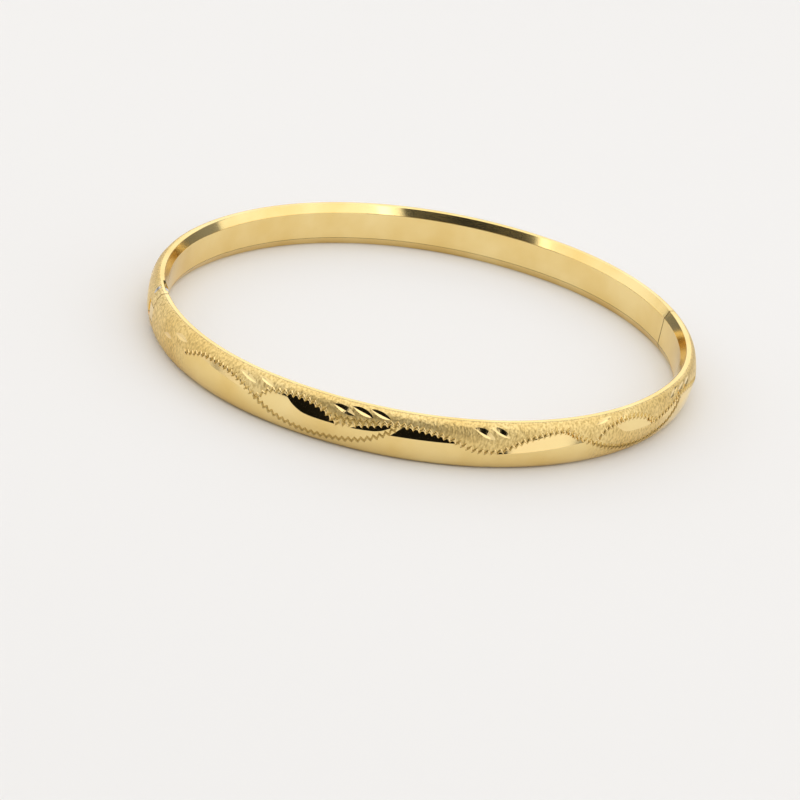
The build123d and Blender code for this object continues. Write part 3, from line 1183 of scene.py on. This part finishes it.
@dataclass(frozen=True)
class Lining:
    """A flat strip on the wrist side of one half, from one place along the band to another."""

    half: Half
    bench: Bench
    name: str
    start: float
    end: float
    soft_edge: float = 0.045
    side_gap: float = 0.01
    column: float = 0.5

    def is_wrist_edge(self, edge: bmesh.types.BMEdge, half_width: float) -> bool:
        """Tells the two long edges that touch the wrist from the others.

        Args:
            edge: An edge of the flat strip.
            half_width: Half of the strip's width.

        Returns:
            Whether it is one of the two.
        """
        first, second = edge.verts[0].co, edge.verts[1].co
        runs_along = abs(first.x - second.x) > 0.01
        on_wrist_side = first.z < 0.01 - self.bench.section.depth
        return runs_along and on_wrist_side and abs(first.y) > half_width * 0.99

    def build(self, wardrobe: Wardrobe) -> Object:
        """Sweeps the strip, softens its long edges and bends it round.

        Args:
            wardrobe: The finishes.

        Returns:
            The finished strip.
        """
        section = self.bench.section
        half_width = section.lining / 2.0 - self.side_gap
        wrist, back = -section.depth, section.skin - section.depth
        corners = [(half_width, wrist), (-half_width, wrist), (-half_width, back), (half_width, back)]
        bm = bmesh.new()
        steps = max(2, round((self.end - self.start) / self.column))
        sweep_bar(bm, corners, self.start, self.end, steps)
        bmesh.ops.recalc_face_normals(bm, faces=bm.faces[:])
        wrist_edges = [edge for edge in bm.edges if self.is_wrist_edge(edge, half_width)]
        bmesh.ops.bevel(
            bm, geom=wrist_edges, offset=self.soft_edge, segments=3, profile=0.5, affect="EDGES", material=-1,
        )
        for edge in bm.edges:
            edge.smooth = edge.calc_face_angle(0.0) < math.radians(SHARP)
        self.bench.bend_mesh(bm, self.half.side)
        for face in bm.faces:
            face.smooth = True
        return finish_mesh(self.name, bm, (wardrobe.lining,))


def softened_copy(node: str, material: Material) -> Object:
    """Copies a CAD node, merges its loose triangles and lets its curved faces shade smoothly.

    Args:
        node: The node's name.
        material: The copy's finish.

    Returns:
        The copy.
    """
    bm = bmesh.new()
    bm.from_mesh(frame["nodes"][node].data)
    bmesh.ops.remove_doubles(bm, verts=bm.verts[:], dist=0.000002)
    bmesh.ops.dissolve_degenerate(bm, dist=0.000001, edges=bm.edges[:])
    for face in bm.faces:
        face.smooth = True
        face.material_index = 0
    for edge in bm.edges:
        edge.smooth = edge.calc_face_angle(0.0) < math.radians(30.0)
    return finish_mesh(f"{node}_finished", bm, (material,))


# ---- Studio ------------------------------------------------------------------------------


@dataclass(frozen=True)
class Panel:
    """A soft light, or with no watts a dark card, that stands round the set and faces the bangle."""

    name: str
    azimuth: float
    elevation: float
    distance: float
    size: tuple[float, float]
    watts: float = 0.0


PANELS = (
    Panel("front_softbox", -22.0, 48.0, 0.55, (0.70, 0.34), 0.66),
    Panel("left_softbox", -105.0, 25.0, 0.55, (0.95, 0.50), 1.10),
    Panel("right_softbox", 54.0, 25.0, 0.55, (0.80, 0.50), 1.08),
    Panel("back_softbox", 158.0, 25.0, 0.75, (1.50, 0.40), 1.60),
    Panel("low_dark_card", -23.0, 15.5, 0.80, (1.60, 0.44)),
    Panel("high_dark_card", -25.0, 33.0, 0.48, (0.46, 0.14)),
)


@dataclass(frozen=True)
class Studio:
    """Pale floor, soft lights, two dark cards and the camera. Angles are in degrees."""

    centre: Vector
    azimuth: float = -22.0
    elevation: float = 24.8
    roll: float = 11.4
    distance: float = 0.250
    lens: float = 101.0
    sensor: float = 36.0
    aim_left: float = 0.0028
    aim_down: float = 0.0085
    floor: Colour = (0.80, 0.79, 0.78)
    card: Colour = (0.01, 0.01, 0.01)
    light: Colour = (1.0, 0.98, 0.95)
    horizon: float = 0.18
    zenith: float = 0.60

    def direction(self, azimuth: float, elevation: float) -> Vector:
        """Unit vector from the bangle towards an azimuth and an elevation."""
        turn, tip = math.radians(azimuth), math.radians(elevation)
        return Vector((math.sin(turn) * math.cos(tip), -math.cos(turn) * math.cos(tip), math.sin(tip)))

    def place_camera(self) -> None:
        """Places the camera, turned so that the bangle stands a little off the middle."""
        data = bpy.data.cameras.new("camera")
        data.lens, data.sensor_width = self.lens, self.sensor
        data.clip_start, data.clip_end = 0.01, 20.0
        made = bpy.data.objects.new("camera", data)
        bpy.context.scene.collection.objects.link(made)
        back = self.direction(self.azimuth, self.elevation)
        level = (-back).to_track_quat("-Z", "Y") @ Quaternion((0, 0, 1), math.radians(self.roll))
        right, up = level @ Vector((1, 0, 0)), level @ Vector((0, 1, 0))
        position = self.centre + back * self.distance
        aim = self.centre - right * self.aim_left - up * self.aim_down
        turn = back.rotation_difference((position - aim).normalized())
        made.location = position
        made.rotation_mode = "QUATERNION"
        made.rotation_quaternion = turn @ level
        bpy.context.scene.camera = made

    def stand_card(self, name: str, place: Vector, size: tuple[float, float]) -> None:
        """Stands a dark card off the set, unseen by the camera itself.

        Args:
            name: The card's name.
            place: Where its middle is.
            size: Its width and height.
        """
        bm = bmesh.new()
        bmesh.ops.create_grid(bm, x_segments=1, y_segments=1, size=0.5)
        bmesh.ops.scale(bm, vec=(*size, 1.0), verts=bm.verts[:])
        facing = (self.centre - place).to_track_quat("Z", "Y").to_matrix()
        bmesh.ops.rotate(bm, matrix=facing, verts=bm.verts[:])
        bmesh.ops.translate(bm, vec=place, verts=bm.verts[:])
        made = finish_mesh(name, bm, (plain_material(f"{name}_paint", self.card),))
        made.visible_camera = False
        made.visible_shadow = False

    def hang_light(self, name: str, place: Vector, size: tuple[float, float], watts: float) -> None:
        """Hangs a soft rectangular light that faces the bangle.

        Args:
            name: The light's name.
            place: Where its middle is.
            size: Its width and height.
            watts: Its power.
        """
        data = bpy.data.lights.new(name, "AREA")
        data.shape, data.size, data.size_y = "RECTANGLE", *size
        data.energy, data.color = watts, self.light
        made = bpy.data.objects.new(name, data)
        bpy.context.scene.collection.objects.link(made)
        made.location = place
        made.rotation_mode = "QUATERNION"
        made.rotation_quaternion = (place - self.centre).to_track_quat("Z", "Y")

    def build(self) -> None:
        """Sets the whole studio round the bangle."""
        bm = bmesh.new()
        bmesh.ops.create_grid(bm, x_segments=1, y_segments=1, size=2.0)
        floor = finish_mesh("floor", bm, (plain_material("pale_floor", self.floor),))
        self.sky()
        self.hang_light("overhead_softbox", self.centre + Vector((0.05, 0.10, 0.60)), (0.80, 0.80), 1.6)
        for panel in PANELS:
            place = self.centre + self.direction(panel.azimuth, panel.elevation) * panel.distance
            if panel.watts:
                self.hang_light(panel.name, place, panel.size, panel.watts)
            else:
                self.stand_card(panel.name, place, panel.size)
        self.place_camera()
        bpy.context.scene.view_settings.view_transform = "Standard"

    def sky(self) -> None:
        """Surrounds the set with soft white light that fades towards the horizon."""
        world = bpy.data.worlds.new("studio")
        world.use_nodes = True
        nodes, links = world.node_tree.nodes, world.node_tree.links
        coordinates = nodes.new("ShaderNodeTexCoord")
        parts = nodes.new("ShaderNodeSeparateXYZ")
        fade = nodes.new("ShaderNodeMapRange")
        fade.inputs["From Min"].default_value = 0.0
        fade.inputs["From Max"].default_value = 0.8
        fade.inputs["To Min"].default_value = self.horizon
        fade.inputs["To Max"].default_value = self.zenith
        links.new(coordinates.outputs["Generated"], parts.inputs["Vector"])
        links.new(parts.outputs["Z"], fade.inputs["Value"])
        background = nodes["Background"]
        background.inputs["Color"].default_value = (0.97, 0.98, 1.0, 1.0)
        links.new(fade.outputs["Result"], background.inputs["Strength"])
        bpy.context.scene.world = world


def plain_material(name: str, colour: Colour) -> Material:
    """Makes a plain matt paint for the floor and the cards.

    Args:
        name: The paint's name.
        colour: Its colour.

    Returns:
        The material.
    """
    made = bpy.data.materials.new(name)
    made.use_nodes = True
    shader = made.node_tree.nodes["Principled BSDF"]
    shader.inputs["Base Color"].default_value = (*colour, 1.0)
    shader.inputs["Roughness"].default_value = 0.9
    shader.inputs["Specular IOR Level"].default_value = 0.1
    return made


# ---- Making ------------------------------------------------------------------------------


def clear_leftovers() -> None:
    """Removes whatever the start-up file holds besides the frame."""
    keep = set(frame["nodes"].values()) | set(frame["bodies"].values())
    for item in list(bpy.data.objects):
        if item not in keep:
            bpy.data.objects.remove(item)


def finish_of_slot(wardrobe: Wardrobe) -> dict[str, Material]:
    """The finish that each of the record's material slots takes."""
    return {
        "spring_steel": wardrobe.steel,
        "plain_gold": wardrobe.filed,
        "polished_gold": wardrobe.lining,
        "engraved_gold": wardrobe.lining,
    }


def dress_cad_nodes(wardrobe: Wardrobe) -> None:
    """Gives every CAD node that stays in view its finish."""
    finishes = finish_of_slot(wardrobe)
    for row in frame["record"]["subparts"]:
        node = frame["nodes"][row["node"]]
        node.data.materials.clear()
        node.data.materials.append(finishes[row["material_slot"]])


def report(piece: Object, body: str, slot: str, *nodes: str) -> None:
    """Ties a finished piece to its body, hides the CAD nodes that it stands for, and logs it.

    Args:
        piece: The piece.
        body: The body it rides on.
        slot: Not used.
        nodes: The CAD nodes that it stands for.
    """
    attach(piece, body)
    if nodes:
        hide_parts(*nodes)
    LOG.info("%s: %d faces on %s", piece.name, len(piece.data.polygons), body)


@dataclass(frozen=True)
class EngravedHalf:
    """The sheet metal of one half: its engraved shell, its zigzag strokes with their painted shade, and its
    lining.
    """

    half: Half
    bench: Bench
    hinge: HingeEnd = HingeEnd()

    def build(self, wardrobe: Wardrobe) -> None:
        """Makes the half's pieces and ties them to its body.

        Args:
            wardrobe: The finishes.
        """
        half, bench = self.half, self.bench
        end = bench.oval.length - HALF_SEAM
        start = HALF_SEAM if half is Half.FRONT else self.hinge.notch[1]
        shell = EngravedShell(half, bench).build(wardrobe)
        report(shell, half.value, "engraved_gold", f"{half.word}_outer_shell")
        report(WriggleCuts(half, bench).build(wardrobe), half.value, "engraved_gold")
        lining = Lining(half, bench, f"{half.word}_lining", start, end).build(wardrobe)
        report(lining, half.value, "polished_gold", f"{half.word}_inner_lining")

    def bridge(self, wardrobe: Wardrobe) -> None:
        """Makes the short bar across the wrist side, between the seam and the hinge's notch.

        Args:
            wardrobe: The finishes.
        """
        bar = Lining(self.half, self.bench, "bridge_bar", HALF_SEAM, self.hinge.notch[0]).build(wardrobe)
        report(bar, self.half.value, "polished_gold", "hinge_bridge")


@dataclass(frozen=True)
class Fittings:
    """The hinge, the clasp and the caps, which keep the CAD's own shapes."""

    sheet_nodes: tuple[str, ...] = (
        "front_outer_shell", "back_outer_shell", "front_inner_lining", "back_inner_lining", "hinge_bridge",
    )

    def build(self, wardrobe: Wardrobe) -> None:
        """Makes a smooth copy of every other CAD node, on that node's body.

        Args:
            wardrobe: The finishes.
        """
        finishes = finish_of_slot(wardrobe)
        for row in frame["record"]["subparts"]:
            node, slot = row["node"], row["material_slot"]
            if node in self.sheet_nodes:
                continue
            body = frame["nodes"][node].parent.name.removeprefix("body:")
            report(softened_copy(node, finishes[slot]), body, slot, node)


def main() -> None:
    """Builds the bangle and its studio."""
    logging.basicConfig(level=logging.INFO, format="%(message)s")
    clear_leftovers()
    oval, section = frame_sizes()
    LOG.info("oval %s length %.5f section %s", oval, oval.length, section)
    bench = Bench(oval, section)
    wardrobe = Wardrobe.build()
    dress_cad_nodes(wardrobe)
    for half in Half:
        EngravedHalf(half, bench).build(wardrobe)
    EngravedHalf(Half.BACK, bench).bridge(wardrobe)
    Fittings().build(wardrobe)
    Studio(Vector((0, 0, oval.mid_height * MM))).build()


if __name__ == "__main__":
    main()
